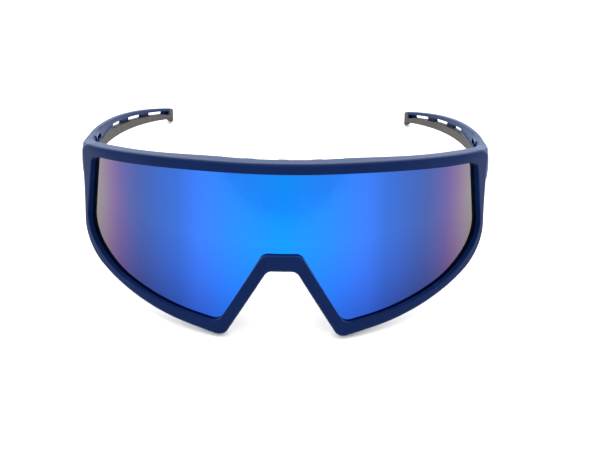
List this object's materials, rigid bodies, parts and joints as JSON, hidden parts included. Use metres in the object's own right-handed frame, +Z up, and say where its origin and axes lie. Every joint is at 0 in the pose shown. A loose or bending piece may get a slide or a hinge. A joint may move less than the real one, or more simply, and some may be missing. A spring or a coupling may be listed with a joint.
{
  "type": "wraparound sport sunglasses",
  "caption": "Full-rim wraparound shield sunglasses with a mirrored blue lens, brow vents, folding slotted temples and rubber grips.",
  "frame": {"origin": "centre of the resting footprint, at the height of the flat surface that the pair stands on", "axes": "+X to the wearer's left across the frame, +Y from the lens towards the temple tips, +Z up from the resting surface"},
  "size_m": [0.1448, 0.1378, 0.0594],
  "materials": {
    "frame_plastic": "satin navy moulded plastic",
    "lens_mirror": "blue to violet mirror coating on polycarbonate",
    "clip_plastic": "black moulded plastic",
    "pad_rubber": "soft matt rubber",
    "grip_rubber": "soft matt rubber",
    "screw_steel": "plain steel",
    "insert_brass": "plain brass"
  },
  "bodies": {
    "front": {"front_frame": "frame_plastic", "shield_lens": "lens_mirror", "nose_clip": "clip_plastic", "nose_pad_left": "pad_rubber", "nose_pad_right": "pad_rubber", "hinge_screw_left": "screw_steel", "hinge_screw_right": "screw_steel", "hinge_insert_left": "insert_brass", "hinge_insert_right": "insert_brass"},
    "left_arm": {"temple_left": "frame_plastic", "temple_grip_left": "grip_rubber"},
    "right_arm": {"temple_right": "frame_plastic", "temple_grip_right": "grip_rubber"}
  },
  "joints": [
    {"name": "left_temple_fold", "type": "hinge", "parent": "front", "child": "left_arm", "pos_m": [0.0676, -0.00948, 0.03334], "axis": [0, 0.313, 0.9498], "range_deg": [0, 90]},
    {"name": "right_temple_fold", "type": "hinge", "parent": "front", "child": "right_arm", "pos_m": [-0.0676, -0.00948, 0.03334], "axis": [0, -0.313, -0.9498], "range_deg": [0, 78]}
  ]
}
